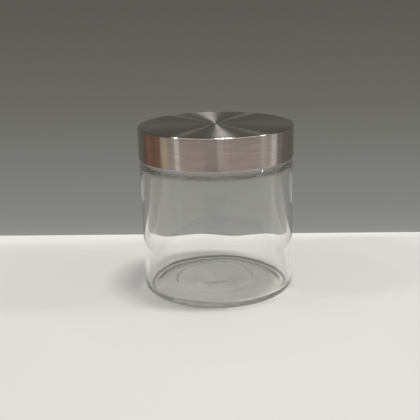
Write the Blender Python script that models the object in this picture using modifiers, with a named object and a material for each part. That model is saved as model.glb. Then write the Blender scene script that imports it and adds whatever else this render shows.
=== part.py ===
"""Glass storage jar with a screw-on steel lid, about 0.7 litre.

Metres, +Z up. The jar stands on the world origin and its axis is the Z axis. The lid's
pieces hang on two empties on that axis, at the height of the jar's rim: one that rises
with the lid, and one that also turns with it. All pieces of revolution are profiles in
the XZ plane, turned by a Screw modifier.
"""

import math

import bmesh
import bpy
from mathutils import Matrix

# Jar body
BODY_RADIUS = 0.0519
JAR_HEIGHT = 0.1092
BODY_WALL = 0.0030
HEEL_RADIUS = 0.0040
SHOULDER_RADIUS = 0.0040
SHOULDER_WALL = 0.0033

# Jar base
FLOOR_THICKNESS = 0.0034
FLOOR_CROWN = 0.0042
INNER_HEEL_RADIUS = 0.0016
REST_WIDTH = 0.0025
PUSH_UP_HEIGHT = 0.0028
MARK_RADIUS = 0.0255
MARK_EDGE_WIDTH = 0.0010
MARK_DEPTH = 0.0008
DIMPLE_RADIUS = 0.0140
DIMPLE_DEPTH = 0.0003

# Jar neck and rim
NECK_HEIGHT = 0.0177
NECK_WALL = 0.0030
NECK_LEDGE = 0.0005
NECK_FILLET = 0.0009
INNER_NECK_ARC_SHARE = 0.46
RIM_ROUND_SHARE = 0.40

# Steel cap
SHELL_WALL = 0.0005
SHELL_EDGE_RADIUS = 0.0010
HEM_BEND_RADIUS = 0.00025
HEM_RETURN = 0.0010
HEM_LIFT = 0.0003

# Plastic insert
THREAD_ROOM = 0.0017
INSERT_WALL = 0.0014
INSERT_DISC = 0.0012
INSERT_EDGE = 0.0006
FLANGE_REACH = 0.0021
FLANGE_THICKNESS = 0.0012
LEAD_IN = 0.0006
RIB_COUNT = 20
RIB_WIDTH = 0.0012
RIB_INSET = 0.0004
SEAT_RIDGE_WIDTH = 0.0010
SEAT_RIDGE_HEIGHT = 0.0010

# Seal ring
SEAL_THICKNESS = 0.0015
SEAL_WIDTH = 0.0052
SEAL_EDGE_SHARE = 0.25

# Fits and smoothness
GAP = 0.0003
MERGE_DISTANCE = 0.00001
TURN_STEPS = 60
ARC_STEPS = 5
SMALL_ARC_STEPS = 3
SHARP_ANGLE = math.radians(38)

# Radii that follow, from the body inwards and then outwards to the lid's edge
inner_radius = BODY_RADIUS - BODY_WALL
shoulder_inner_radius = BODY_RADIUS - SHOULDER_RADIUS
neck_radius = shoulder_inner_radius - NECK_LEDGE - NECK_FILLET
mouth_radius = neck_radius - NECK_WALL
rest_outer_radius = BODY_RADIUS - HEEL_RADIUS
rest_inner_radius = rest_outer_radius - REST_WIDTH
insert_bore = neck_radius + THREAD_ROOM
insert_skirt_radius = insert_bore + INSERT_WALL
flange_radius = insert_skirt_radius + FLANGE_REACH
shell_bore = flange_radius + GAP
lid_radius = shell_bore + SHELL_WALL
seal_outer_radius = insert_bore - GAP
seal_inner_radius = seal_outer_radius - SEAL_WIDTH
ridge_outer_radius = seal_inner_radius - GAP
ridge_inner_radius = ridge_outer_radius - SEAT_RIDGE_WIDTH

# Heights that follow, on the jar
shoulder_top = JAR_HEIGHT - NECK_HEIGHT
shoulder_underside = shoulder_top - SHOULDER_WALL

# Heights that follow, on the lid, measured from the jar's rim
seal_bottom = GAP
seal_top = seal_bottom + SEAL_THICKNESS
disc_bottom = seal_top + GAP
disc_top = disc_bottom + INSERT_DISC
shell_top = disc_top + GAP + SHELL_WALL
hem_bend_outer = HEM_BEND_RADIUS + SHELL_WALL
hem_bottom = HEM_LIFT - NECK_HEIGHT
hem_bend_height = hem_bottom + hem_bend_outer
hem_top = hem_bend_height + HEM_RETURN
insert_foot = hem_top + GAP


def clear_objects():
    """Remove what the file holds, so that the model starts from nothing."""
    for item in list(bpy.data.objects):
        bpy.data.objects.remove(item, do_unlink=True)


def new_collection(name):
    collection = bpy.data.collections.new(name)
    bpy.context.scene.collection.children.link(collection)
    return collection


def new_material(name, colour, roughness, metallic=0.0, transmission=0.0, ior=1.5):
    """A plain Principled material of the piece's colour and gloss."""
    material = bpy.data.materials.new(name)
    material.use_nodes = True
    shader = material.node_tree.nodes["Principled BSDF"]
    shader.inputs["Base Color"].default_value = (*colour, 1.0)
    shader.inputs["Roughness"].default_value = roughness
    shader.inputs["Metallic"].default_value = metallic
    shader.inputs["Transmission Weight"].default_value = transmission
    shader.inputs["IOR"].default_value = ior
    material.diffuse_color = (*colour, 1.0)
    return material


def arc(centre_x, centre_z, radius, start_degrees, end_degrees, steps):
    """Points along a circular arc in the XZ plane, both ends included."""
    points = []
    for step in range(steps + 1):
        turned_by = (end_degrees - start_degrees) * step / steps
        angle = math.radians(start_degrees + turned_by)
        points.append((centre_x + radius * math.cos(angle), centre_z + radius * math.sin(angle)))
    return points


def ramp(start, end, steps, shape):
    """Points from start to end whose height follows shape(0..1); start is left out."""
    points = []
    for step in range(1, steps + 1):
        share = step / steps
        x = start[0] + (end[0] - start[0]) * share
        z = start[1] + (end[1] - start[1]) * shape(share)
        points.append((x, z))
    return points


def quick_then_level(share):
    return math.sin(share * math.pi / 2)


def slow_quick_slow(share):
    return (1 - math.cos(share * math.pi)) / 2


def turned(name, profile, collection, closed=False):
    """A solid or a surface of revolution about the Z axis from a profile in the XZ plane.

    The profile runs down its outer side from top to bottom, so the faces point out.
    """
    mesh = bpy.data.meshes.new(name)
    edges = [(index, index + 1) for index in range(len(profile) - 1)]
    if closed:
        edges.append((len(profile) - 1, 0))
    mesh.from_pydata([(x, 0, z) for x, z in profile], edges, [])
    piece = bpy.data.objects.new(name, mesh)
    collection.objects.link(piece)
    screw = piece.modifiers.new("turn", "SCREW")
    screw.axis = "Z"
    screw.angle = math.tau
    screw.steps = TURN_STEPS
    screw.render_steps = TURN_STEPS
    screw.use_merge_vertices = True
    screw.merge_threshold = MERGE_DISTANCE
    return piece


def settle(piece, material):
    """Apply the piece's modifiers, give it its material and shade its round faces smooth."""
    bpy.context.view_layer.update()
    depsgraph = bpy.context.evaluated_depsgraph_get()
    mesh = bpy.data.meshes.new_from_object(piece.evaluated_get(depsgraph))
    mesh.name = piece.name
    piece.modifiers.clear()
    piece.data = mesh
    mesh.materials.clear()
    mesh.materials.append(material)
    mesh.shade_smooth()
    mesh.set_sharp_from_angle(angle=SHARP_ANGLE)
    return piece


def floor_profile():
    """The inner floor, from its crowned centre out to the inner wall."""
    flat_radius = inner_radius - INNER_HEEL_RADIUS
    centre = (0, FLOOR_THICKNESS + FLOOR_CROWN)
    edge = (flat_radius, FLOOR_THICKNESS)
    points = [centre]
    points += ramp(centre, edge, SMALL_ARC_STEPS, slow_quick_slow)[:-1]
    points += arc(flat_radius, FLOOR_THICKNESS + INNER_HEEL_RADIUS, INNER_HEEL_RADIUS, -90, 0, ARC_STEPS)
    return points


def inner_neck_profile():
    """The inside of the shoulder, from the inner wall in and up to the mouth."""
    bend = (inner_radius - mouth_radius) * INNER_NECK_ARC_SHARE
    points = arc(inner_radius - bend, shoulder_underside - bend, bend, 0, 90, SMALL_ARC_STEPS)
    points += arc(mouth_radius + bend, shoulder_underside + bend, bend, 270, 180, SMALL_ARC_STEPS)
    return points


def rim_profile():
    """The rounded rim, from the mouth over to the neck's outside."""
    rounding = NECK_WALL * RIM_ROUND_SHARE
    points = arc(mouth_radius + rounding, JAR_HEIGHT - rounding, rounding, 180, 90, SMALL_ARC_STEPS)
    points += arc(neck_radius - rounding, JAR_HEIGHT - rounding, rounding, 90, 0, SMALL_ARC_STEPS)
    return points


def outer_shoulder_profile():
    """The foot of the neck, its ledge and the rounded shoulder, down to the body's wall."""
    fillet_x = neck_radius + NECK_FILLET
    fillet_z = shoulder_top + NECK_FILLET
    shoulder_z = shoulder_top - SHOULDER_RADIUS
    points = arc(fillet_x, fillet_z, NECK_FILLET, 180, 270, SMALL_ARC_STEPS)
    points += arc(shoulder_inner_radius, shoulder_z, SHOULDER_RADIUS, 90, 0, ARC_STEPS)
    return points


def underside_profile():
    """The heel, the resting ring and the push-up with its circular mark, in to the axis."""
    mark_outer = (MARK_RADIUS + MARK_EDGE_WIDTH, PUSH_UP_HEIGHT)
    mark_inner = (MARK_RADIUS, PUSH_UP_HEIGHT + MARK_DEPTH)
    dimple_edge = (DIMPLE_RADIUS, mark_inner[1])
    centre = (0, mark_inner[1] + DIMPLE_DEPTH)
    points = arc(rest_outer_radius, HEEL_RADIUS, HEEL_RADIUS, 0, -90, ARC_STEPS)
    points.append((rest_inner_radius, 0))
    points += ramp(points[-1], mark_outer, SMALL_ARC_STEPS, quick_then_level)
    points += ramp(mark_outer, mark_inner, SMALL_ARC_STEPS, slow_quick_slow)
    points.append(dimple_edge)
    points += ramp(dimple_edge, centre, SMALL_ARC_STEPS, quick_then_level)
    return points


def make_glass_jar(collection):
    profile = floor_profile() + inner_neck_profile() + rim_profile()
    profile += outer_shoulder_profile() + underside_profile()
    glass = new_material("clear_glass", (0.93, 0.97, 0.95), 0.02, transmission=1.0, ior=1.52)
    return settle(turned("glass_jar", profile, collection), glass)


def make_lid_shell(collection):
    """The drawn steel cap: its outer face turned, then thickened inwards to the sheet's wall.

    The skirt ends in a hem that turns in and back up, and the insert rests on its edge.
    """
    edge_radius = lid_radius - SHELL_EDGE_RADIUS
    edge_z = shell_top - SHELL_EDGE_RADIUS
    bend_x = lid_radius - hem_bend_outer
    profile = [(0, shell_top)]
    profile += arc(edge_radius, edge_z, SHELL_EDGE_RADIUS, 90, 0, ARC_STEPS)
    profile += arc(bend_x, hem_bend_height, hem_bend_outer, 0, -180, ARC_STEPS)
    profile.append((bend_x - hem_bend_outer, hem_top))
    shell = turned("lid_shell", profile, collection)
    sheet = shell.modifiers.new("sheet", "SOLIDIFY")
    sheet.thickness = SHELL_WALL
    sheet.offset = -1
    sheet.use_even_offset = True
    steel = new_material("brushed_steel", (0.56, 0.53, 0.50), 0.30, metallic=1.0)
    return settle(shell, steel)


def insert_profile():
    """The insert's section: disc, channel for the ribs, flange, bored skirt and seal seat."""
    flange_top = insert_foot + FLANGE_THICKNESS
    return [
        (0, disc_top),
        (flange_radius - INSERT_EDGE, disc_top),
        (flange_radius, disc_top - INSERT_EDGE),
        (flange_radius, disc_bottom),
        (insert_skirt_radius, disc_bottom),
        (insert_skirt_radius, flange_top),
        (flange_radius, flange_top),
        (flange_radius, insert_foot),
        (insert_bore + LEAD_IN, insert_foot),
        (insert_bore, insert_foot + LEAD_IN),
        (insert_bore, disc_bottom),
        (ridge_outer_radius, disc_bottom),
        (ridge_outer_radius, disc_bottom - SEAT_RIDGE_HEIGHT),
        (ridge_inner_radius, disc_bottom - SEAT_RIDGE_HEIGHT),
        (ridge_inner_radius, disc_bottom),
        (0, disc_bottom),
    ]


def make_ribs(collection):
    """The stiffening ribs round the insert's skirt, rooted in the skirt, disc and flange."""
    inner = insert_skirt_radius - INSERT_WALL / 2
    outer = flange_radius - RIB_INSET
    low = insert_foot + FLANGE_THICKNESS / 2
    high = disc_bottom + INSERT_DISC / 2
    size = Matrix.Diagonal((outer - inner, RIB_WIDTH, high - low, 1))
    place = Matrix.Translation(((outer + inner) / 2, 0, (high + low) / 2))
    shape = bmesh.new()
    for rib in range(RIB_COUNT):
        around = Matrix.Rotation(math.tau * rib / RIB_COUNT, 4, "Z")
        bmesh.ops.create_cube(shape, size=1, matrix=around @ place @ size)
    mesh = bpy.data.meshes.new("insert_ribs")
    shape.to_mesh(mesh)
    shape.free()
    ribs = bpy.data.objects.new("insert_ribs", mesh)
    collection.objects.link(ribs)
    ribs.hide_render = True
    ribs.display_type = "WIRE"
    return ribs


def make_thread_insert(collection, construction):
    insert = turned("thread_insert", insert_profile(), collection)
    union = insert.modifiers.new("ribs", "BOOLEAN")
    union.operation = "UNION"
    union.solver = "EXACT"
    union.object = make_ribs(construction)
    plastic = new_material("white_plastic", (0.80, 0.80, 0.78), 0.35)
    return settle(insert, plastic)


def make_seal_ring(collection):
    """The flat sealing ring with eased corners, between the insert's disc and the rim."""
    ease = SEAL_THICKNESS * SEAL_EDGE_SHARE
    profile = [
        (seal_outer_radius - ease, seal_top),
        (seal_outer_radius, seal_top - ease),
        (seal_outer_radius, seal_bottom + ease),
        (seal_outer_radius - ease, seal_bottom),
        (seal_inner_radius + ease, seal_bottom),
        (seal_inner_radius, seal_bottom + ease),
        (seal_inner_radius, seal_top - ease),
        (seal_inner_radius + ease, seal_top),
    ]
    rubber = new_material("pale_silicone", (0.75, 0.74, 0.70), 0.55)
    return settle(turned("seal_ring", profile, collection, closed=True), rubber)


def make_empty(name, collection, parent, height):
    empty = bpy.data.objects.new(name, None)
    empty.empty_display_size = BODY_RADIUS
    collection.objects.link(empty)
    empty.parent = parent
    empty.location = (0, 0, height)
    return empty


def build():
    clear_objects()
    collection = new_collection("glass_storage_jar")
    construction = new_collection("construction")
    jar = make_glass_jar(collection)
    lid_rise = make_empty("lid_rise", collection, jar, JAR_HEIGHT)
    lid_turn = make_empty("lid_turn", collection, lid_rise, 0)
    make_seal_ring(collection).parent = lid_rise
    make_thread_insert(collection, construction).parent = lid_turn
    make_lid_shell(collection).parent = lid_turn
    bpy.context.view_layer.update()


build()
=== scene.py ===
"""Looks of the glass storage jar: clear glass, a spun steel cap, its plastic insert and seal.

Lengths are in metres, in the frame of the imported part: +Z up, the jar's axis on Z and its
resting ring on z = 0. Each sub-assembly is a class that holds its sizes, builds its mesh as
a surface turned about that axis, and dresses it in its finish. The beads of the screw
thread are raised in the turned surfaces of the neck and of the insert's bore. The studio
stands round the jar as stage pieces.
"""

import logging
import math
from dataclasses import dataclass, field
from enum import Enum
from typing import Callable, Optional, Union

import bpy
from mathutils import Euler, Matrix, Vector


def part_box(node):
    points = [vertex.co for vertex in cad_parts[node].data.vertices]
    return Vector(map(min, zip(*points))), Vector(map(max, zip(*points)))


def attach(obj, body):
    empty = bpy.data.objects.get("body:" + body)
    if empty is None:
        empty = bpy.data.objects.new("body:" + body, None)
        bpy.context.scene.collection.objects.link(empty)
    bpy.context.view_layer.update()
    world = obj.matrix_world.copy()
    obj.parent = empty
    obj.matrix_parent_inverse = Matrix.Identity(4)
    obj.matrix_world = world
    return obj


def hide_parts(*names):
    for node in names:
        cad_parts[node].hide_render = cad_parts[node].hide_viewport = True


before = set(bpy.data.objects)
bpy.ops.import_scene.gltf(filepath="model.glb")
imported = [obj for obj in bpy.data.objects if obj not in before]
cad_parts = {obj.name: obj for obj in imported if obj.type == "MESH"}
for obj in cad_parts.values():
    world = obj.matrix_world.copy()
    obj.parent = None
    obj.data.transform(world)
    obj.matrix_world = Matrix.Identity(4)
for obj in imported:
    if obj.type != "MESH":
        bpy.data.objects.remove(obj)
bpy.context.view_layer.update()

MM = 0.001
ROUNDING = 1e-7
CORNER_ANGLE = math.radians(40)
RAY_TURNS = 48
HALF_A_BOUNCE = 0.5
LOG = logging.getLogger("glass_storage_jar")

Colour = tuple[float, float, float]
Place = tuple[float, float, float]
Face = tuple[int, ...]
Point = tuple[float, float]
Profile = list[Point]
Shaper = Callable[[float, float, float], float]
SocketValue = Union[float, tuple, bpy.types.NodeSocket]
UNIT: Point = (0.0, 1.0)


class Body(Enum):
    """The moving bodies of the part."""

    JAR = "jar"
    SEAL = "seal"
    LID = "lid"


class Slot(Enum):
    """The material slots of the record."""

    GLASS = "clear_glass"
    STEEL = "brushed_steel"
    PLASTIC = "insert_plastic"
    SILICONE = "seal_silicone"


class Ends(Enum):
    """How a turned profile ends."""

    ON_AXIS = "both ends lie on the axis"
    CLOSED = "the profile is a ring that never meets the axis"


class Graph:
    """A node tree that is being filled, with short calls for adding and joining nodes."""

    def __init__(self, tree: bpy.types.NodeTree) -> None:
        """Take the tree to fill.

        Args:
            tree: The node tree of a material, a world or a group.
        """
        self.tree = tree

    def put(self, socket: bpy.types.NodeSocket, value: SocketValue) -> None:
        """Link a socket into an input, or write a plain value on it.

        Args:
            socket: The input.
            value: An output socket to link, or the value to write.
        """
        if isinstance(value, bpy.types.NodeSocket):
            self.tree.links.new(value, socket)
        else:
            socket.default_value = value

    def add(self, kind: str, inputs: Optional[dict] = None, **settings: object) -> bpy.types.Node:
        """Add a node.

        Args:
            kind: The node's type name.
            inputs: Values or sockets by input name or number.
            **settings: Properties of the node, such as its operation.

        Returns:
            The new node.
        """
        node = self.tree.nodes.new(kind)
        for name, value in settings.items():
            setattr(node, name, value)
        for key, value in (inputs or {}).items():
            self.put(node.inputs[key], value)
        return node

    def math(
        self, operation: str, first: SocketValue, second: SocketValue = 0.0
    ) -> bpy.types.NodeSocket:
        """Add a Math node.

        Args:
            operation: The sum to work out.
            first: The first value or socket.
            second: The second value or socket.

        Returns:
            The node's output.
        """
        return self.add("ShaderNodeMath", {0: first, 1: second}, operation=operation).outputs[0]

    def mapped(
        self, value: SocketValue, given: Point = UNIT, made: Point = UNIT, **settings: str
    ) -> bpy.types.NodeSocket:
        """Map one range onto another, and hold the result to its ends.

        Args:
            value: The value or socket to map.
            given: The range that it comes from.
            made: The range that it goes to.
            **settings: Properties of the node, such as its interpolation.

        Returns:
            The mapped value.
        """
        node = self.add("ShaderNodeMapRange", {"Value": value}, **settings)
        for key, number in zip(("From Min", "From Max", "To Min", "To Max"), given + made):
            self.put(node.inputs[key], number)
        return node.outputs["Result"]

    def noise(
        self, place: SocketValue, scale: SocketValue, detail: float, **more: float
    ) -> bpy.types.NodeSocket:
        """Add a Noise texture.

        Args:
            place: Where it is looked up.
            scale: Its scale.
            detail: How many finer layers it has.
            **more: Its other inputs by name, such as Roughness.

        Returns:
            The noise.
        """
        inputs = {"Vector": place, "Scale": scale, "Detail": detail, **more}
        return self.add("ShaderNodeTexNoise", inputs).outputs["Fac"]

    def bump(
        self, height: bpy.types.NodeSocket, distance: float, strength: float = 1.0
    ) -> bpy.types.NodeSocket:
        """Add a Bump node.

        Args:
            height: The height, from 0 to 1.
            distance: How high a height of 1 stands.
            strength: How much of it shows.

        Returns:
            The normal.
        """
        inputs = {"Height": height, "Distance": distance, "Strength": strength}
        return self.add("ShaderNodeBump", inputs).outputs["Normal"]

    def blend(
        self, factor: SocketValue, low: SocketValue, high: SocketValue
    ) -> bpy.types.NodeSocket:
        """Mix two colours.

        Args:
            factor: 0 gives the first colour and 1 the second.
            low: The first colour, of four numbers or a socket.
            high: The second colour.

        Returns:
            The mixed colour.
        """
        node = self.add("ShaderNodeMix", data_type="RGBA")
        self.put(node.inputs["Factor"], factor)
        self.put(node.inputs[6], low)
        self.put(node.inputs[7], high)
        return node.outputs[2]

    def group(self, tree: bpy.types.NodeTree, inputs: dict[str, SocketValue]) -> bpy.types.Node:
        """Place a node group with its own values.

        Args:
            tree: The group.
            inputs: Values or sockets by input name.

        Returns:
            The group's node.
        """
        node = self.tree.nodes.new("ShaderNodeGroup")
        node.node_tree = tree
        for key, value in inputs.items():
            self.put(node.inputs[key], value)
        return node


def opaque(colour: Colour) -> tuple[float, float, float, float]:
    """A colour with full alpha, as the sockets take it."""
    return (*colour, 1.0)


def new_group(
    name: str, inputs: dict[str, str], outputs: dict[str, str]
) -> tuple[bpy.types.NodeTree, Graph, bpy.types.Node, bpy.types.Node]:
    """Make an empty shader node group.

    Args:
        name: The group's name.
        inputs: Socket types by input name.
        outputs: Socket types by output name.

    Returns:
        The group's tree, its graph, its input node and its output node.
    """
    tree = bpy.data.node_groups.new(name, "ShaderNodeTree")
    for socket_name, kind in inputs.items():
        tree.interface.new_socket(socket_name, in_out="INPUT", socket_type=kind)
    for socket_name, kind in outputs.items():
        tree.interface.new_socket(socket_name, in_out="OUTPUT", socket_type=kind)
    graph = Graph(tree)
    return tree, graph, graph.add("NodeGroupInput"), graph.add("NodeGroupOutput")


def turning_lines_group() -> bpy.types.NodeTree:
    """Fine lines that run round the axis, as a lathe, a brush or a turned mould leaves them.

    Returns:
        The group: Lines per Metre and Run in, Height and Tone out.
    """
    name = "turning_lines"
    if name in bpy.data.node_groups:
        return bpy.data.node_groups[name]
    tree, graph, given, result = new_group(
        name,
        {"Lines per Metre": "NodeSocketFloat", "Run": "NodeSocketFloat"},
        {"Height": "NodeSocketFloat", "Tone": "NodeSocketFloat"},
    )
    broad_stretch = (0.21, 0.6, 0.6)
    fine_share = 0.6
    place = graph.add("ShaderNodeTexCoord").outputs["Object"]
    part = graph.add("ShaderNodeSeparateXYZ", {0: place})
    east, north = part.outputs["X"], part.outputs["Y"]
    flat = graph.add("ShaderNodeCombineXYZ", {0: east, 1: north}).outputs[0]
    radius = graph.add("ShaderNodeVectorMath", {0: flat}, operation="LENGTH").outputs["Value"]
    around = graph.add("ShaderNodeVectorMath", {0: flat}, operation="NORMALIZE").outputs[0]
    way = graph.add("ShaderNodeSeparateXYZ", {0: around})
    across = graph.math("SUBTRACT", radius, part.outputs["Z"])
    line_place = graph.math("MULTIPLY", across, given.outputs["Lines per Metre"])
    run_east = graph.math("MULTIPLY", way.outputs["X"], given.outputs["Run"])
    run_north = graph.math("MULTIPLY", way.outputs["Y"], given.outputs["Run"])
    where = graph.add("ShaderNodeCombineXYZ", {0: line_place, 1: run_east, 2: run_north}).outputs[0]
    factors = {0: where, 1: broad_stretch}
    stretched = graph.add("ShaderNodeVectorMath", factors, operation="MULTIPLY").outputs[0]
    fine = graph.noise(where, scale=1.0, detail=3.0, Roughness=0.65)
    broad = graph.noise(stretched, scale=1.0, detail=2.0)
    fine_tone = graph.math("MULTIPLY", fine, fine_share)
    broad_tone = graph.math("MULTIPLY", broad, 1.0 - fine_share)
    graph.put(result.inputs["Height"], fine)
    graph.put(result.inputs["Tone"], graph.math("ADD", fine_tone, broad_tone))
    return tree


def handling_marks_group() -> bpy.types.NodeTree:
    """Soft patches where a surface has been wiped or handled, for gloss that isn't even.

    Returns:
        The group: Patch Size in, Mask and Grain out.
    """
    name = "handling_marks"
    if name in bpy.data.node_groups:
        return bpy.data.node_groups[name]
    tree, graph, given, result = new_group(
        name,
        {"Patch Size": "NodeSocketFloat"},
        {"Mask": "NodeSocketFloat", "Grain": "NodeSocketFloat"},
    )
    grains_per_patch = 40.0
    patch_range = (0.38, 0.68)
    place = graph.add("ShaderNodeTexCoord").outputs["Object"]
    scale = graph.math("DIVIDE", 1.0, given.outputs["Patch Size"])
    grain_scale = graph.math("MULTIPLY", scale, grains_per_patch)
    patches = graph.noise(place, scale, detail=3.0, Distortion=0.6)
    grain = graph.noise(place, grain_scale, detail=2.0)
    mask = graph.mapped(patches, patch_range, interpolation_type="SMOOTHSTEP")
    graph.put(result.inputs["Mask"], mask)
    graph.put(result.inputs["Grain"], grain)
    return tree


def new_material(name: str) -> tuple[bpy.types.Material, Graph, bpy.types.Node, bpy.types.Node]:
    """Make a material with one Principled shader on its output.

    Args:
        name: The material's name.

    Returns:
        The material, its graph, the Principled node and the output node.
    """
    material = bpy.data.materials.new(name)
    material.use_nodes = True
    nodes = material.node_tree.nodes
    return material, Graph(material.node_tree), nodes["Principled BSDF"], nodes["Material Output"]


@dataclass(frozen=True)
class ClearGlass:
    """Clear soda-lime glass, fire-polished, with a trace of green in its depth.

    gloss is the range of its roughness. Lamp light that passes it is tinted by face_shade, or
    by edge_shade where the glass stands edge-on.
    """

    tint: Colour = (1.0, 1.0, 0.995)
    face_shade: Colour = (0.95, 0.955, 0.945)
    edge_shade: Colour = (0.70, 0.70, 0.68)
    depth_colour: Colour = (0.80, 0.83, 0.77)
    depth_density: float = 2.5
    ior: float = 1.48
    gloss: Point = (0.0, 0.02)
    wave_size: float = 14 * MM
    wave_height: float = 0.012 * MM

    def material(self) -> bpy.types.Material:
        """Build the glass. Lamps shine through it, least where it stands edge-on to their light.

        Returns:
            The material.
        """
        material, graph, shader, output = new_material("clear_glass")
        marks = graph.group(handling_marks_group(), {"Patch Size": self.wave_size})
        gloss = graph.mapped(marks.outputs["Mask"], made=self.gloss)
        graph.put(shader.inputs["Base Color"], opaque(self.tint))
        graph.put(shader.inputs["Roughness"], gloss)
        graph.put(shader.inputs["IOR"], self.ior)
        graph.put(shader.inputs["Transmission Weight"], 1.0)
        place = graph.add("ShaderNodeTexCoord").outputs["Object"]
        ripple = graph.noise(place, 1.0 / self.wave_size, detail=1.0)
        graph.put(shader.inputs["Normal"], graph.bump(ripple, self.wave_height))
        lamp_ray = graph.add("ShaderNodeLightPath").outputs["Is Shadow Ray"]
        edge_on = graph.add("ShaderNodeLayerWeight").outputs["Facing"]
        shade = graph.blend(edge_on, opaque(self.face_shade), opaque(self.edge_shade))
        clear = graph.add("ShaderNodeBsdfTransparent", {"Color": shade}).outputs[0]
        mix = graph.add("ShaderNodeMixShader", {0: lamp_ray, 1: shader.outputs[0], 2: clear})
        graph.put(output.inputs["Surface"], mix.outputs[0])
        depth = graph.add("ShaderNodeVolumeAbsorption")
        graph.put(depth.inputs["Color"], opaque(self.depth_colour))
        graph.put(depth.inputs["Density"], self.depth_density)
        graph.put(output.inputs["Volume"], depth.outputs[0])
        return material


@dataclass(frozen=True)
class SpunSteel:
    """Stainless steel, spun on the top and brushed round the skirt in one sheet.

    The lines' tone, stretched over the range tone, mixes the dark and the light colour. gloss
    is the range of the roughness, and gloss_turn turns its long way across the lines.
    """

    light: Colour = (0.62, 0.585, 0.555)
    dark: Colour = (0.50, 0.47, 0.445)
    tone: Point = (-1.0, 2.0)
    gloss: Point = (0.205, 0.235)
    anisotropy: float = 1.0
    gloss_turn: float = 0.25
    lines_per_metre: float = 4200.0
    run: float = 5.0
    line_depth: float = 0.006 * MM
    patch_size: float = 30 * MM

    def material(self) -> bpy.types.Material:
        """Build the steel, whose gloss spreads across its lines.

        Returns:
            The material.
        """
        material, graph, shader, _ = new_material("brushed_steel")
        line_sizes = {"Lines per Metre": self.lines_per_metre, "Run": self.run}
        lines = graph.group(turning_lines_group(), line_sizes)
        marks = graph.group(handling_marks_group(), {"Patch Size": self.patch_size})
        tone = graph.mapped(lines.outputs["Tone"], made=self.tone)
        colour = graph.blend(tone, opaque(self.dark), opaque(self.light))
        gloss = graph.mapped(marks.outputs["Mask"], made=self.gloss)
        tangent = graph.add("ShaderNodeTangent", direction_type="RADIAL", axis="Z")
        graph.put(shader.inputs["Base Color"], colour)
        graph.put(shader.inputs["Roughness"], gloss)
        graph.put(shader.inputs["Metallic"], 1.0)
        graph.put(shader.inputs["Anisotropic"], self.anisotropy)
        graph.put(shader.inputs["Anisotropic Rotation"], self.gloss_turn)
        graph.put(shader.inputs["Tangent"], tangent.outputs[0])
        bump = graph.bump(lines.outputs["Height"], self.line_depth)
        graph.put(shader.inputs["Normal"], bump)
        return material


@dataclass(frozen=True)
class MouldedPart:
    """A moulded plastic or silicone, with the fine turned marks of its mould.

    gloss is the range of its roughness.
    """

    name: str
    colour: Colour
    worn: Colour
    gloss: Point
    lines_per_metre: float = 900.0
    run: float = 2.0
    line_depth: float = 0.01 * MM
    line_strength: float = 0.6
    patch_size: float = 12 * MM

    def material(self) -> bpy.types.Material:
        """Build the moulded finish.

        Returns:
            The material.
        """
        material, graph, shader, _ = new_material(self.name)
        line_sizes = {"Lines per Metre": self.lines_per_metre, "Run": self.run}
        lines = graph.group(turning_lines_group(), line_sizes)
        marks = graph.group(handling_marks_group(), {"Patch Size": self.patch_size})
        colour = graph.blend(marks.outputs["Mask"], opaque(self.colour), opaque(self.worn))
        gloss = graph.mapped(marks.outputs["Grain"], made=self.gloss)
        graph.put(shader.inputs["Base Color"], colour)
        graph.put(shader.inputs["Roughness"], gloss)
        bump = graph.bump(lines.outputs["Height"], self.line_depth, self.line_strength)
        graph.put(shader.inputs["Normal"], bump)
        return material


def same(first: float, second: float) -> bool:
    """Whether two lengths are equal but for rounding."""
    return abs(first - second) < ROUNDING


def arc(centre: Point, radius: float, start: float, end: float, steps: int) -> Profile:
    """Points along a circular arc.

    Args:
        centre: The arc's centre, as distance from the axis and height.
        radius: The arc's radius.
        start: The angle of the first point, in degrees from straight out.
        end: The angle of the last point.
        steps: The number of steps between them.

    Returns:
        The points, both ends included.
    """
    angles = [math.radians(start + (end - start) * step / steps) for step in range(steps + 1)]
    return [(centre[0] + radius * math.cos(a), centre[1] + radius * math.sin(a)) for a in angles]


def line(start: Point, end: Point, spacing: float) -> Profile:
    """Points along a straight stretch, for a surface that needs rows there.

    Args:
        start: The first end, which is left out.
        end: The last end, which is left out.
        spacing: About how far apart the points lie.

    Returns:
        The points between the ends.
    """
    count = max(1, round(math.dist(start, end) / spacing))
    shares = [step / count for step in range(1, count)]
    wide, tall = end[0] - start[0], end[1] - start[1]
    return [(start[0] + wide * share, start[1] + tall * share) for share in shares]


def ramp(start: Point, end: Point, steps: int, shape: Callable[[float], float]) -> Profile:
    """Points whose height goes from start to end by a given shape.

    Args:
        start: The first point, which is left out.
        end: The last point.
        steps: The number of points.
        shape: The share of the height for each share of the way.

    Returns:
        The points.
    """
    shares = [step / steps for step in range(1, steps + 1)]
    wide, tall = end[0] - start[0], end[1] - start[1]
    return [(start[0] + wide * share, start[1] + tall * shape(share)) for share in shares]


def quick_then_level(share: float) -> float:
    """A rise that starts steep and levels off."""
    return math.sin(share * math.pi / 2)


def slow_quick_slow(share: float) -> float:
    """A rise that is level at both ends."""
    return (1 - math.cos(share * math.pi)) / 2


def smooth_step(share: float) -> float:
    """0 below 0, 1 above 1, and smooth between."""
    clamped = min(1.0, max(0.0, share))
    return clamped * clamped * (3 - 2 * clamped)


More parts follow.
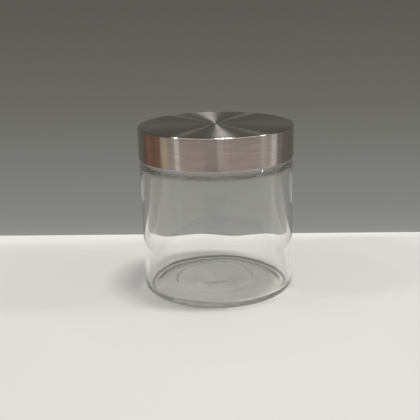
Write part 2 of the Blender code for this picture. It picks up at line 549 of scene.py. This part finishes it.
def turned(
    name: str, profile: Profile, segments: int, ends: Ends, shape: Optional[Shaper] = None
) -> bpy.types.Object:
    """Turn a profile about the Z axis into a mesh object.

    Args:
        name: The object's name.
        profile: The points, which run down the outer side from top to bottom.
        segments: The number of faces round the axis.
        ends: How the profile ends.
        shape: Gives the true distance from the axis for an angle, a distance and a height.

    Returns:
        The new object, shaded smooth but for its corners.
    """
    points, rings = [], []
    for radius, height in profile:
        if radius == 0:
            rings.append([len(points)] * segments)
            points.append((0.0, 0.0, height))
            continue
        rings.append(list(range(len(points), len(points) + segments)))
        for segment in range(segments):
            angle = math.tau * segment / segments
            distance = shape(angle, radius, height) if shape else radius
            points.append((distance * math.cos(angle), distance * math.sin(angle), height))
    if ends is Ends.CLOSED:
        rings.append(rings[0])
    faces = []
    for upper, lower in zip(rings, rings[1:]):
        for segment in range(segments):
            following = (segment + 1) % segments
            corners = (upper[segment], lower[segment], lower[following], upper[following])
            faces.append(tuple(dict.fromkeys(corners)))
    mesh = bpy.data.meshes.new(name)
    mesh.from_pydata(points, [], faces)
    mesh.validate()
    mesh.shade_smooth()
    mesh.set_sharp_from_angle(angle=CORNER_ANGLE)
    piece = bpy.data.objects.new(name, mesh)
    bpy.context.scene.collection.objects.link(piece)
    return piece


def hand_over(
    piece: bpy.types.Object, material: bpy.types.Material, node: str, body: Body
) -> None:
    """Dress a piece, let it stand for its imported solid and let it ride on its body.

    Args:
        piece: The finished mesh object.
        material: Its material.
        node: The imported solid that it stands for.
        body: The body that it moves with.
    """
    piece.data.materials.append(material)
    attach(piece, body.value)
    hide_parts(node)
    LOG.info("%s: %d faces, rides on %s", piece.name, len(piece.data.polygons), body.value)


@dataclass(frozen=True)
class ScrewThread:
    """A right-hand thread of round beads with two starts, one on each side of the neck."""

    starts: int = 2
    lead: float = 9.0 * MM
    depth: float = 1.15 * MM
    half_width: float = 1.35 * MM
    roundness: float = 1.5
    low: float = 98.5 * MM
    high: float = 106.2 * MM
    run_out: float = math.radians(28)
    first_angle: float = math.radians(200)

    @property
    def half_pitch(self) -> float:
        """Half the height between one bead and the next above it."""
        return self.lead / self.starts / 2

    def height(self, angle: float, z: float, drop: float = 0.0) -> float:
        """How far the thread stands out of its wall at a place.

        Args:
            angle: The place's angle round the axis.
            z: The place's height.
            drop: How far this thread lies below the neck's own.

        Returns:
            The distance, 0 away from the beads.
        """
        span = (self.high - self.low) / self.lead * math.tau
        tallest = 0.0
        for start in range(self.starts):
            begin = self.first_angle + math.tau * start / self.starts
            turned_by = (angle - begin) % math.tau
            if turned_by > span:
                continue
            centre = self.low - drop + self.lead * turned_by / math.tau
            aside = abs(z - centre) / self.half_width
            if aside >= 1:
                continue
            fade = smooth_step(turned_by / self.run_out)
            fade *= smooth_step((span - turned_by) / self.run_out)
            bead = self.depth * fade * math.cos(aside * math.pi / 2) ** self.roundness
            tallest = max(tallest, bead)
        return tallest


@dataclass(frozen=True)
class SoftWaves:
    """The slight waves of a blown wall, which bend what shows through it.

    They fade out towards the floor and the shoulder, and towards the sides on +X and -X.
    """

    depth: float = 0.126 * MM
    count: int = 7
    turn: float = 0.206
    length: float = 55.0 * MM
    level: float = 52.0 * MM
    slow_depth_share: float = 0.3
    slow_count: int = 3
    slow_turn: float = 2.0
    slow_rise: float = 150.0
    slow_start: float = 0.7
    top_share: float = 0.78
    fade_rate: float = 5.0
    side_gain: float = 1.8
    side_start: float = 0.5

    def offset(self, angle: float, height: float, share: float) -> float:
        """How far the wall stands out of true at a place.

        Args:
            angle: The place's angle round the axis.
            height: The place's height.
            share: How far up the wall it lies, from 0 at the foot.

        Returns:
            The distance, outwards.
        """
        fade = smooth_step(share * self.fade_rate)
        fade *= smooth_step((self.top_share - share) * self.fade_rate)
        fade *= smooth_step(abs(math.sin(angle)) * self.side_gain - self.side_start)
        around = math.cos(self.count * (angle + math.pi / 2 - self.turn))
        along = math.sin(math.tau * (height - self.level) / self.length)
        slow = self.slow_depth_share * math.sin(self.slow_count * angle + self.slow_turn)
        slow *= math.sin(self.slow_rise * height + self.slow_start)
        return self.depth * fade * (slow - around * along)


@dataclass
class GlassJar:
    """The jar, blown in one piece: heavy base, rounded heel and shoulder, and threaded neck.

    The inside of the shoulder runs from inner_shoulder_low under the outer ledge to
    inner_shoulder_high over it. The mark under the base lies mark_shift off centre along X,
    which dies out over mark_blend round it.
    """

    body_radius: float
    finish: ClearGlass = field(default_factory=ClearGlass)
    thread: ScrewThread = field(default_factory=ScrewThread)
    waves: SoftWaves = field(default_factory=SoftWaves)
    height: float = 109.2 * MM
    wall: float = 3.0 * MM
    heel: float = 4.0 * MM
    shoulder: float = 4.0 * MM
    inner_shoulder_low: float = 6.5 * MM
    inner_shoulder_high: float = 0.5 * MM
    floor_thickness: float = 3.4 * MM
    floor_crown: float = 4.2 * MM
    inner_heel: float = 3.0 * MM
    rest_width: float = 2.5 * MM
    push_up: float = 2.8 * MM
    mark_radius: float = 25.5 * MM
    mark_edge: float = 2.0 * MM
    mark_depth: float = 0.8 * MM
    mark_shift: float = -3.0 * MM
    mark_blend: float = 8.0 * MM
    dimple_radius: float = 14.0 * MM
    dimple_depth: float = 0.3 * MM
    neck_height: float = 17.7 * MM
    neck_wall: float = 3.0 * MM
    neck_ledge: float = 0.5 * MM
    neck_fillet: float = 0.9 * MM
    rim_round_share: float = 0.40
    wall_row: float = 3.0 * MM
    thread_row: float = 0.3 * MM
    curve_steps: int = 12
    bend_steps: int = 6
    shoulder_steps: int = 16
    push_up_steps: int = 10
    segments: int = 192

    @property
    def inner_radius(self) -> float:
        """The inner wall's distance from the axis."""
        return self.body_radius - self.wall

    @property
    def neck_radius(self) -> float:
        """The neck's outer radius."""
        return self.body_radius - self.shoulder - self.neck_ledge - self.neck_fillet

    @property
    def mouth_radius(self) -> float:
        """The mouth's inner radius."""
        return self.neck_radius - self.neck_wall

    def profile(self) -> Profile:
        """The jar's section, from the floor's centre over the rim to the base's centre.

        Returns:
            The points as distance from the axis and height.
        """
        return self.inside() + self.rim() + self.outside() + self.underside()

    def inside(self) -> Profile:
        """The floor, the inner wall and the inside of the shoulder.

        Returns:
            The points as distance from the axis and height.
        """
        flat = self.inner_radius - self.inner_heel
        heel_centre = (flat, self.floor_thickness + self.inner_heel)
        ledge = self.height - self.neck_height
        foot = (self.inner_radius, ledge - self.inner_shoulder_low)
        head = (self.mouth_radius, ledge + self.inner_shoulder_high)
        middle = (0.0, self.floor_thickness + self.floor_crown)
        edge = (flat, self.floor_thickness)
        points = [middle] + ramp(middle, edge, self.curve_steps, slow_quick_slow)[:-1]
        points += arc(heel_centre, self.inner_heel, -90, 0, self.curve_steps)
        points += line(points[-1], foot, self.wall_row) + [foot]
        for step in range(1, self.shoulder_steps + 1):
            share = step / self.shoulder_steps
            inward = (foot[0] - head[0]) * slow_quick_slow(share)
            points.append((foot[0] - inward, foot[1] + (head[1] - foot[1]) * share))
        return points

    def rim(self) -> Profile:
        """The rounded rim, from the mouth to the neck's outside.

        Returns:
            The points as distance from the axis and height.
        """
        rounding = self.neck_wall * self.rim_round_share
        top = self.height - rounding
        points = arc((self.mouth_radius + rounding, top), rounding, 180, 90, self.bend_steps)
        return points + arc((self.neck_radius - rounding, top), rounding, 90, 0, self.bend_steps)

    def outside(self) -> Profile:
        """The neck with rows for its thread, the ledge, the shoulder and the wall.

        Returns:
            The points as distance from the axis and height.
        """
        ledge = self.height - self.neck_height
        neck_top = (self.neck_radius, self.height - self.neck_wall * self.rim_round_share)
        foot_centre = (self.neck_radius + self.neck_fillet, ledge + self.neck_fillet)
        foot = arc(foot_centre, self.neck_fillet, 180, 270, self.bend_steps)
        shoulder_centre = (self.body_radius - self.shoulder, ledge - self.shoulder)
        shoulder = arc(shoulder_centre, self.shoulder, 90, 0, self.curve_steps)
        return line(neck_top, foot[0], self.thread_row) + foot + shoulder

    def underside(self) -> Profile:
        """The heel, the resting ring and the push-up with its circular mark.

        Returns:
            The points as distance from the axis and height.
        """
        rest_outer = self.body_radius - self.heel
        mark_outer = (self.mark_radius + self.mark_edge, self.push_up)
        mark_inner = (self.mark_radius, self.push_up + self.mark_depth)
        dimple = (self.dimple_radius, mark_inner[1])
        middle = (0.0, dimple[1] + self.dimple_depth)
        points = arc((rest_outer, self.heel), self.heel, 0, -90, self.curve_steps)
        points.append((rest_outer - self.rest_width, 0.0))
        points += ramp(points[-1], mark_outer, self.push_up_steps, quick_then_level)
        points += ramp(mark_outer, mark_inner, self.bend_steps, slow_quick_slow)
        points.append(dimple)
        return points + ramp(dimple, middle, self.bend_steps, quick_then_level)

    def shape(self, angle: float, radius: float, height: float) -> float:
        """The glass's true distance from the axis.

        The neck carries the thread, the mark under the base lies off centre, and the inner
        wall has soft waves.

        Args:
            angle: The angle round the axis.
            radius: The profile's distance from the axis.
            height: The height.

        Returns:
            The distance from the axis.
        """
        if same(radius, self.neck_radius):
            return radius + self.thread.height(angle, height)
        blend_end = self.mark_radius + self.mark_blend
        if radius < blend_end and height < self.floor_thickness + self.mark_depth:
            near = smooth_step((blend_end - radius) / self.mark_blend)
            near *= smooth_step(radius / self.dimple_radius)
            return radius + self.mark_shift * near * math.cos(angle)
        if same(radius, self.inner_radius):
            above_heel = height - self.floor_thickness - self.inner_heel
            share = above_heel / (self.height - self.neck_height)
            return radius + self.waves.offset(angle, height, share)
        return radius

    def build(self) -> bpy.types.Object:
        """Make, dress and hand over the jar.

        Returns:
            The jar.
        """
        jar = turned("jar_glass", self.profile(), self.segments, Ends.ON_AXIS, self.shape)
        hand_over(jar, self.finish.material(), "glass_jar", Body.JAR)
        return jar


@dataclass
class SteelCap:
    """The drawn steel cap: flat top, rounded edge, straight skirt and a hem turned in."""

    radius: float
    top: float
    bottom: float
    finish: SpunSteel = field(default_factory=SpunSteel)
    sheet: float = 0.5 * MM
    edge: float = 1.0 * MM
    hem_bend: float = 0.25 * MM
    hem_return: float = 1.0 * MM
    ring_shares: tuple[float, ...] = (0.25, 0.5, 0.75)
    edge_steps: int = 8
    inner_edge_steps: int = 6
    hem_steps: int = 12
    inner_hem_steps: int = 8
    segments: int = 256

    def profile(self) -> Profile:
        """The sheet's section, down its outer face and back up its inner face.

        Returns:
            The points as distance from the axis and height.
        """
        bend_outer = self.hem_bend + self.sheet
        edge_centre = (self.radius - self.edge, self.top - self.edge)
        bend_centre = (self.radius - bend_outer, self.bottom + bend_outer)
        hem_top = bend_centre[1] + self.hem_return
        hem_inner = bend_centre[0] - bend_outer
        points = [(0.0, self.top)]
        points += [(self.radius * share, self.top) for share in self.ring_shares]
        points += arc(edge_centre, self.edge, 90, 0, self.edge_steps)
        points += arc(bend_centre, bend_outer, 0, -180, self.hem_steps)
        points += [(hem_inner, hem_top), (bend_centre[0] - self.hem_bend, hem_top)]
        points += arc(bend_centre, self.hem_bend, -180, 0, self.inner_hem_steps)
        points += arc(edge_centre, self.edge - self.sheet, 0, 90, self.inner_edge_steps)
        points.append((0.0, self.top - self.sheet))
        return points

    def build(self) -> bpy.types.Object:
        """Make, dress and hand over the cap.

        Returns:
            The cap.
        """
        cap = turned("lid_cap", self.profile(), self.segments, Ends.ON_AXIS)
        hand_over(cap, self.finish.material(), "lid_shell", Body.LID)
        return cap


@dataclass
class ThreadInsert:
    """The plastic insert: a disc, a bored skirt with the mating thread, a flange and ribs."""

    flange_radius: float
    bottom: float
    top: float
    neck_radius: float
    finish: MouldedPart
    thread: ScrewThread = field(default_factory=ScrewThread)
    thread_room: float = 1.7 * MM
    wall: float = 1.4 * MM
    disc: float = 1.2 * MM
    edge: float = 0.6 * MM
    flange: float = 1.2 * MM
    lead_in: float = 0.6 * MM
    ridge_outer: float = 42.4 * MM
    ridge_width: float = 1.0 * MM
    ridge_height: float = 1.0 * MM
    rib_count: int = 20
    rib_half_angle: float = math.radians(0.7)
    rib_inset: float = 0.4 * MM
    bore_row: float = 0.3 * MM
    segments: int = 240

    @property
    def bore(self) -> float:
        """The bore's distance from the axis."""
        return self.neck_radius + self.thread_room

    def profile(self) -> Profile:
        """The insert's section, with rows in its bore for the thread and on its skirt for the ribs.

        Returns:
            The points as distance from the axis and height.
        """
        under = self.top - self.disc
        flange_top = self.bottom + self.flange
        skirt = self.bore + self.wall
        points = [(0.0, self.top), (self.flange_radius - self.edge, self.top)]
        points += [(self.flange_radius, self.top - self.edge), (self.flange_radius, under)]
        points += [(skirt, under), (skirt, flange_top)]
        points += [(self.flange_radius, flange_top), (self.flange_radius, self.bottom)]
        points += [(self.bore + self.lead_in, self.bottom), (self.bore, self.bottom + self.lead_in)]
        points += line(points[-1], (self.bore, under), self.bore_row) + [(self.bore, under)]
        inner = self.ridge_outer - self.ridge_width
        foot = under - self.ridge_height
        points += [(self.ridge_outer, under), (self.ridge_outer, foot)]
        points += [(inner, foot), (inner, under), (0.0, under)]
        return points

    def shape(self, angle: float, radius: float, height: float) -> float:
        """The insert's true distance from the axis, with the thread in its bore and ribs outside.

        Args:
            angle: The angle round the axis.
            radius: The profile's distance from the axis.
            height: The height.

        Returns:
            The distance from the axis.
        """
        if same(radius, self.bore):
            return radius - self.thread.height(angle, height, self.thread.half_pitch)
        if same(radius, self.bore + self.wall):
            spacing = math.tau / self.rib_count
            aside = abs((angle + spacing / 2) % spacing - spacing / 2)
            if aside < self.rib_half_angle:
                return self.flange_radius - self.rib_inset
        return radius

    def build(self) -> bpy.types.Object:
        """Make, dress and hand over the insert.

        Returns:
            The insert.
        """
        insert = turned("lid_insert", self.profile(), self.segments, Ends.ON_AXIS, self.shape)
        hand_over(insert, self.finish.material(), "thread_insert", Body.LID)
        return insert


@dataclass
class SealRing:
    """The flat silicone ring with rounded edges that the rim presses on."""

    outer: float
    bottom: float
    top: float
    finish: MouldedPart
    width: float = 5.2 * MM
    edge_share: float = 0.25
    edge_steps: int = 4
    segments: int = 192

    def build(self) -> bpy.types.Object:
        """Make, dress and hand over the ring.

        Returns:
            The ring.
        """
        inner = self.outer - self.width
        ease = (self.top - self.bottom) * self.edge_share
        low, high = self.bottom + ease, self.top - ease
        edges = [(self.outer - ease, high, 90), (self.outer - ease, low, 0)]
        edges += [(inner + ease, low, -90), (inner + ease, high, 180)]
        points = []
        for radius, height, start in edges:
            points += arc((radius, height), ease, start, start - 90, self.edge_steps)
        ring = turned("lid_seal", points, self.segments, Ends.CLOSED)
        hand_over(ring, self.finish.material(), "seal_ring", Body.SEAL)
        return ring


@dataclass(frozen=True)
class SoftLamp:
    """A rectangular studio lamp that faces the lid."""

    name: str
    direction: Place
    distance: float
    size: Point
    power: float
    long_way: Place = (0.0, 1.0, 0.0)
    colour: Colour = (1.0, 1.0, 1.0)

    def build(self, target: Vector) -> None:
        """Hang the lamp.

        Args:
            target: The point that it faces.
        """
        light = bpy.data.lights.new(self.name, "AREA")
        light.shape = "RECTANGLE"
        light.size, light.size_y = self.size
        light.energy = self.power
        light.color = self.colour
        back = Vector(self.direction).normalized()
        long_way = Vector(self.long_way)
        long_way = (long_way - long_way.dot(back) * back).normalized()
        lamp = bpy.data.objects.new(self.name, light)
        lamp.location = target + self.distance * back
        lamp.rotation_euler = Matrix((long_way.cross(back), long_way, back)).transposed().to_euler()
        bpy.context.scene.collection.objects.link(lamp)


@dataclass(frozen=True)
class Reflector:
    """An upright card curved round the jar, which shows only in what the jar reflects.

    It runs from start to end, in degrees from the camera's side (-Y) towards +X.
    """

    name: str
    start: float
    end: float
    colour: Colour
    low: float = 0.0
    high: float = 0.117
    inset: float = 0.0
    step: float = 4.0

    def corners(self, radius: float) -> tuple[list[Place], list[Face]]:
        """The card's corners and faces.

        Args:
            radius: The distance from the axis at which the cards stand.

        Returns:
            The points and the faces.
        """
        span = self.end - self.start
        count = max(1, round(span / self.step))
        angles = [math.radians(self.start + span * part / count) for part in range(count + 1)]
        away = radius - self.inset
        feet = [(away * math.sin(angle), -away * math.cos(angle)) for angle in angles]
        points = [(x, y, self.low) for x, y in feet] + [(x, y, self.high) for x, y in feet]
        faces = [(part, part + 1, part + count + 2, part + count + 1) for part in range(count)]
        return points, faces


@dataclass
class Studio:
    """The plain setting: pale floor, grey backdrop, soft lamps, reflectors and the camera."""

    lens: float = 61.9
    sensor: float = 36.0
    camera_place: Place = (-0.00504, -0.48255, 0.19628)
    pitch_down: float = 0.2891
    roll: float = -0.0239
    floor_size: float = 8.0
    floor_colour: Colour = (0.70, 0.692, 0.658)
    # Painted highlight: the floor turns paler over a band in Y towards the backdrop.
    floor_edge_highlight: Colour = (0.83, 0.81, 0.77)
    floor_highlight_band: Point = (0.082, 0.098)
    floor_gloss: float = 0.55
    backdrop_distance: float = 0.1053
    backdrop_yaw: float = -0.0475
    backdrop_height: float = 0.42
    room_mirrored: Colour = (0.107, 0.102, 0.093)
    room_through: Colour = (0.30, 0.30, 0.28)
    ambient: float = 0.52
    lamp_target: Place = (0.0, 0.0, 0.113)
    reflector_radius: float = 0.12

    def build(self) -> None:
        """Make the floor, backdrop, reflectors, world, lamps and camera."""
        self.make_camera()
        self.make_floor()
        self.make_backdrop()
        self.make_world()
        for reflector in self.reflectors():
            points, faces = reflector.corners(self.reflector_radius)
            self.card(reflector.name, points, faces, self.reflection_only(reflector))
        for lamp in self.lamps():
            lamp.build(Vector(self.lamp_target))

    def backdrop_painted_falloff(self) -> list[tuple[float, Colour]]:
        """The backdrop's colours by height, with painted light falloff: paler at the foot, darker
        towards the top.

        Returns:
            Heights in metres with their colours, from the foot up.
        """
        # Painted light falloff: the colours darken from the foot towards the top.
        return [
            (0.0, (0.292, 0.295, 0.282)),
            (0.007, (0.256, 0.257, 0.245)),
            (0.020, (0.232, 0.233, 0.220)),
            (0.048, (0.206, 0.208, 0.193)),
            (0.115, (0.141, 0.138, 0.124)),
            (0.193, (0.104, 0.101, 0.091)),
        ]

    def reflectors(self) -> list[Reflector]:
        """The cards round the jar, by their angles from the camera's side.

        Returns:
            The reflectors.
        """
        return [
            Reflector("grey_left", -180, -107, (0.145, 0.14, 0.13)),
            Reflector("brown_edge", -107, -99, (0.16, 0.095, 0.07)),
            Reflector("brown_light", -99, -88, (0.25, 0.15, 0.105)),
            Reflector("brown_dark", -88, -80, (0.20, 0.115, 0.08)),
            Reflector("brown", -80, -69.5, (0.23, 0.15, 0.12)),
            Reflector("khaki", -69.5, -59, (0.53, 0.45, 0.335)),
            Reflector("front_left", -59, -49, (0.40, 0.35, 0.32)),
            Reflector("window_left", -49, -43, (0.72, 0.67, 0.61)),
            Reflector("front_middle", -43, -14, (0.44, 0.375, 0.34)),
            Reflector("front_dim", -14, 1, (0.42, 0.365, 0.335)),
            Reflector("window_middle", 1, 7, (0.57, 0.53, 0.48)),
            Reflector("window_shade", 7, 14, (0.50, 0.43, 0.39)),
            Reflector("front_right", 14, 53, (0.45, 0.39, 0.355)),
            Reflector("window_right", 53, 58, (0.50, 0.45, 0.43)),
            Reflector("front_end", 58, 68, (0.45, 0.40, 0.38)),
            Reflector("window_end", 68, 78, (0.74, 0.70, 0.68)),
            Reflector("shade", 78, 89, (0.27, 0.24, 0.22)),
            Reflector("deep_shade", 89, 103, (0.18, 0.16, 0.145)),
            Reflector("grey_right", 103, 180, (0.145, 0.14, 0.13)),
            Reflector("camera_side", -14, 8, (0.12, 0.12, 0.12), high=0.062, inset=0.002),
            Reflector("sky", -60, 80, (1.2, 1.15, 1.1), low=0.160, high=0.32),
        ]

    def lamps(self) -> list[SoftLamp]:
        """The long lamp overhead and the smaller ones beside it.

        Returns:
            The lamps.
        """
        warm = (1.0, 0.98, 0.96)
        return [
            SoftLamp("overhead", (0.118, -0.055, 0.99), 0.95, (0.20, 0.09), 4.85, colour=warm),
            SoftLamp("left", (-0.685, -0.20, 0.70), 1.1, (0.05, 0.05), 1.4),
            SoftLamp("right", (0.774, -0.10, 0.625), 1.1, (0.05, 0.05), 1.5),
            SoftLamp("high_left", (-0.56, 0.012, 0.828), 1.1, (0.03, 0.03), 0.45),
            SoftLamp("high_right", (0.68, 0.03, 0.732), 1.1, (0.03, 0.03), 0.35),
        ]

    def make_camera(self) -> None:
        """Set the camera at the photograph's angle."""
        data = bpy.data.cameras.new("camera")
        data.lens = self.lens
        data.sensor_width = self.sensor
        camera = bpy.data.objects.new("camera", data)
        level = math.pi / 2 - self.pitch_down
        turn = Euler((level, 0.0, 0.0)).to_matrix() @ Euler((0.0, 0.0, self.roll)).to_matrix()
        camera.rotation_euler = turn.to_euler()
        camera.location = self.camera_place
        bpy.context.scene.collection.objects.link(camera)
        bpy.context.scene.camera = camera

    def make_floor(self) -> None:
        """Lay the pale floor, with a painted highlight that makes it paler towards the backdrop."""
        half = self.floor_size / 2
        corners = [(-half, -half, 0.0), (half, -half, 0.0), (half, half, 0.0), (-half, half, 0.0)]
        material, graph, shader, _ = new_material("pale_floor")
        place = graph.add("ShaderNodeTexCoord").outputs["Object"]
        depth = graph.add("ShaderNodeSeparateXYZ", {0: place}).outputs["Y"]
        # Painted highlight: the floor's colour turns paler towards the backdrop.
        back = graph.mapped(depth, self.floor_highlight_band)
        colour = graph.blend(back, opaque(self.floor_colour), opaque(self.floor_edge_highlight))
        graph.put(shader.inputs["Base Color"], colour)
        graph.put(shader.inputs["Roughness"], self.floor_gloss)
        self.card("floor", corners, [(0, 1, 2, 3)], material)

    def make_backdrop(self) -> None:
        """Stand the grey backdrop behind the jar. From behind it isn't seen, nor does it shade."""
        half = self.floor_size / 2
        top = self.backdrop_height
        corners = [(-half, 0.0, 0.0), (half, 0.0, 0.0), (half, 0.0, top), (-half, 0.0, top)]
        material, graph, output = self.glowing_card("grey_backdrop")
        place = graph.add("ShaderNodeTexCoord").outputs["Object"]
        height = graph.add("ShaderNodeSeparateXYZ", {0: place}).outputs["Z"]
        # Painted light falloff: the backdrop is paler at its foot and darker towards its top.
        shades = self.backdrop_painted_falloff()
        colour = opaque(shades[0][1])
        for (low, _), (high, shade) in zip(shades, shades[1:]):
            colour = graph.blend(graph.mapped(height, (low, high)), colour, opaque(shade))
        from_behind = graph.add("ShaderNodeNewGeometry").outputs["Backfacing"]
        front = graph.math("SUBTRACT", 1.0, from_behind)
        self.show(graph, output, colour, graph.math("MULTIPLY", self.looked_at(graph), front))
        board = self.card("backdrop", corners, [(0, 1, 2, 3)], material)
        board.location = (0.0, self.backdrop_distance, 0.0)
        board.rotation_euler = (0.0, 0.0, self.backdrop_yaw)

    def reflection_only(self, reflector: Reflector) -> bpy.types.Material:
        """A material that shows in mirror reflections alone, not to the camera or through glass.

        Args:
            reflector: The card that it is for.

        Returns:
            The material.
        """
        material, graph, output = self.glowing_card(reflector.name)
        path = graph.add("ShaderNodeLightPath")
        direct, through = path.outputs["Is Camera Ray"], path.outputs["Is Transmission Ray"]
        mirrored = graph.math("SUBTRACT", 1.0, graph.math("MAXIMUM", direct, through))
        seen = graph.math("MULTIPLY", self.looked_at(graph), mirrored)
        self.show(graph, output, opaque(reflector.colour), seen)
        return material

    def looked_at(self, graph: Graph) -> bpy.types.NodeSocket:
        """A mask of the rays that look, straight or by mirror or glass.

        It is 0 for the rays that only gather the light on a surface.

        Args:
            graph: The graph of a material or the world.

        Returns:
            The mask.
        """
        path = graph.add("ShaderNodeLightPath")
        seen = graph.math("MAXIMUM", path.outputs["Is Camera Ray"], path.outputs["Is Glossy Ray"])
        seen = graph.math("MAXIMUM", seen, path.outputs["Is Transmission Ray"])
        no_bounce = graph.math("LESS_THAN", path.outputs["Diffuse Depth"], HALF_A_BOUNCE)
        return graph.math("MULTIPLY", seen, no_bounce)

    def glowing_card(self, name: str) -> tuple[bpy.types.Material, Graph, bpy.types.Node]:
        """Make a material without its Principled shader.

        Args:
            name: The material's name.

        Returns:
            The material, its graph and its output node.
        """
        material, graph, shader, output = new_material(name)
        graph.tree.nodes.remove(shader)
        return material, graph, output

    def show(
        self, graph: Graph, output: bpy.types.Node, colour: SocketValue, seen: SocketValue
    ) -> None:
        """Give a card a colour of its own where it is seen, and nothing elsewhere.

        Args:
            graph: The material's graph.
            output: The material's output node.
            colour: The colour.
            seen: 1 for the rays that see the card.
        """
        glow = graph.add("ShaderNodeEmission", {"Color": colour, "Strength": 1.0})
        clear = graph.add("ShaderNodeBsdfTransparent")
        mix = graph.add("ShaderNodeMixShader", {0: seen, 1: clear.outputs[0], 2: glow.outputs[0]})
        graph.put(output.inputs["Surface"], mix.outputs[0])

    def make_world(self) -> None:
        """Light the jar evenly from all sides, with a dim room for what it reflects and shows."""
        world = bpy.data.worlds.new("room")
        world.use_nodes = True
        bpy.context.scene.world = world
        graph = Graph(world.node_tree)
        shader = world.node_tree.nodes["Background"]
        through = graph.add("ShaderNodeLightPath").outputs["Is Transmission Ray"]
        room = graph.blend(through, opaque(self.room_mirrored), opaque(self.room_through))
        even = (self.ambient, self.ambient, self.ambient)
        graph.put(shader.inputs["Color"], graph.blend(self.looked_at(graph), opaque(even), room))
        graph.put(shader.inputs["Strength"], 1.0)

    def card(
        self, name: str, points: list[Place], faces: list[Face], material: bpy.types.Material
    ) -> bpy.types.Object:
        """Make one card of the setting.

        Args:
            name: The card's name.
            points: Its points.
            faces: Its faces.
            material: Its material.

        Returns:
            The card.
        """
        mesh = bpy.data.meshes.new(name)
        mesh.from_pydata(points, [], faces)
        mesh.materials.append(material)
        card = bpy.data.objects.new(name, mesh)
        bpy.context.scene.collection.objects.link(card)
        return card


def let_light_through() -> None:
    """Let a ray turn often inside the glass, so that its thick parts don't go black."""
    cycles = bpy.context.scene.cycles
    cycles.max_bounces = RAY_TURNS
    cycles.glossy_bounces = RAY_TURNS
    cycles.transmission_bounces = RAY_TURNS
    cycles.transparent_max_bounces = RAY_TURNS


def main() -> None:
    """Build the setting and the four pieces of the jar, in order."""
    logging.basicConfig(level=logging.INFO, format="%(name)s: %(message)s")
    bpy.context.scene.view_settings.view_transform = "Standard"
    let_light_through()
    Studio().build()
    _, jar_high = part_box("glass_jar")
    cap_low, cap_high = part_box("lid_shell")
    insert_low, insert_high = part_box("thread_insert")
    seal_low, seal_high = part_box("seal_ring")
    plastic = MouldedPart("insert_plastic", (0.80, 0.80, 0.78), (0.74, 0.74, 0.71), (0.30, 0.42))
    silicone = MouldedPart("seal_silicone", (0.75, 0.74, 0.70), (0.70, 0.69, 0.64), (0.48, 0.62))
    jar = GlassJar(body_radius=jar_high.x)
    jar.build()
    SteelCap(radius=cap_high.x, top=cap_high.z, bottom=cap_low.z).build()
    ThreadInsert(
        flange_radius=insert_high.x,
        bottom=insert_low.z,
        top=insert_high.z,
        neck_radius=jar.neck_radius,
        finish=plastic,
    ).build()
    SealRing(outer=seal_high.x, bottom=seal_low.z, top=seal_high.z, finish=silicone).build()


if __name__ == "__main__":
    main()
